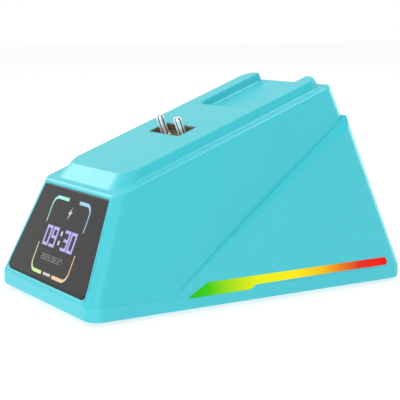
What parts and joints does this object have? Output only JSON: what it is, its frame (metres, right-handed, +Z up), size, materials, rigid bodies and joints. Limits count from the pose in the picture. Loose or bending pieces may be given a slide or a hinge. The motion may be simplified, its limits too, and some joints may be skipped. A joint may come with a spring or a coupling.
{
  "type": "charging dock",
  "caption": "Wedge-shaped desktop charging dock with a sloped clock display on its nose, sprung contact pins on a raised platform and a light bar along each side.",
  "frame": {"origin": "centre of the footprint, on the surface that the feet stand on", "axes": "+Z up, the display faces -Y, the charging inlet faces +Y, and the dock is symmetric about X = 0 on the outside"},
  "size_m": [0.0688, 0.122, 0.071],
  "materials": {
    "aqua_shell": "satin aqua moulding",
    "smoked_window": "polished dark smoked window",
    "dark_foam": "closed-cell foam",
    "display_module": "dark display module",
    "circuit_board": "solder-resist green",
    "steel": "plated steel",
    "contact_metal": "polished plating",
    "brass": "turned brass",
    "flex_amber": "polyimide film",
    "contact_block": "dark brown moulding",
    "light_guide": "frosted light guide, lit green to red",
    "led_white": "moulded LED packages",
    "black_plastic": "moulded black",
    "connector_cream": "natural nylon",
    "red_wire": "PVC insulation",
    "black_wire": "PVC insulation",
    "ferrite": "moulded ferrite",
    "capacitor_can": "drawn can",
    "button_white": "light grey moulding",
    "ballast_steel": "plain steel plate",
    "foot_rubber": "dark grey rubber"
  },
  "bodies": {
    "dock": {"main_housing": "aqua_shell", "rear_cowl": "aqua_shell", "base_cover": "aqua_shell", "display_window": "smoked_window", "display_gasket": "dark_foam", "display_module": "display_module", "display_board": "circuit_board", "display_bracket": "steel", "display_screws": "steel", "display_ribbon": "flex_amber", "contact_block": "contact_block", "contact_board": "circuit_board", "contact_board_screws": "steel", "contact_wires": "red_wire", "contact_barrel_left": "brass", "contact_barrel_right": "brass", "contact_spring_left": "steel", "contact_spring_right": "steel", "light_guide_left": "light_guide", "light_guide_right": "light_guide", "light_board_left": "circuit_board", "light_board_right": "circuit_board", "light_chips_left": "led_white", "light_chips_right": "led_white", "light_wires_left": "black_wire", "light_wires_right": "black_wire", "main_board": "circuit_board", "board_screws": "steel", "controller_chips": "black_plastic", "power_inductor": "ferrite", "filter_capacitors": "capacitor_can", "board_connectors": "connector_cream", "usb_c_port": "steel", "mode_switch": "black_plastic", "ballast_plate": "ballast_steel", "ballast_screws": "steel", "base_screws": "steel", "foot_front_left": "foot_rubber", "foot_front_right": "foot_rubber", "foot_rear_left": "foot_rubber", "foot_rear_right": "foot_rubber"},
    "contact_left": {"contact_pin_left": "contact_metal"},
    "contact_right": {"contact_pin_right": "contact_metal"},
    "mode_button": {"mode_button": "button_white"}
  },
  "joints": [
    {"name": "contact_left_press", "type": "slide", "parent": "dock", "child": "contact_left", "axis": [0, -0.3551, 0.9348], "range_m": [-0.002, 0], "stiffness_N_per_m": 300, "springref_m": 0.001, "deforming": ["contact_spring_left"]},
    {"name": "contact_right_press", "type": "slide", "parent": "dock", "child": "contact_right", "axis": [0, -0.3551, 0.9348], "range_m": [-0.002, 0], "stiffness_N_per_m": 300, "springref_m": 0.001, "deforming": ["contact_spring_right"]},
    {"name": "mode_button_press", "type": "slide", "parent": "dock", "child": "mode_button", "axis": [0, 1, 0], "range_m": [-0.0008, 0], "stiffness_N_per_m": 600, "springref_m": 0.0005}
  ]
}
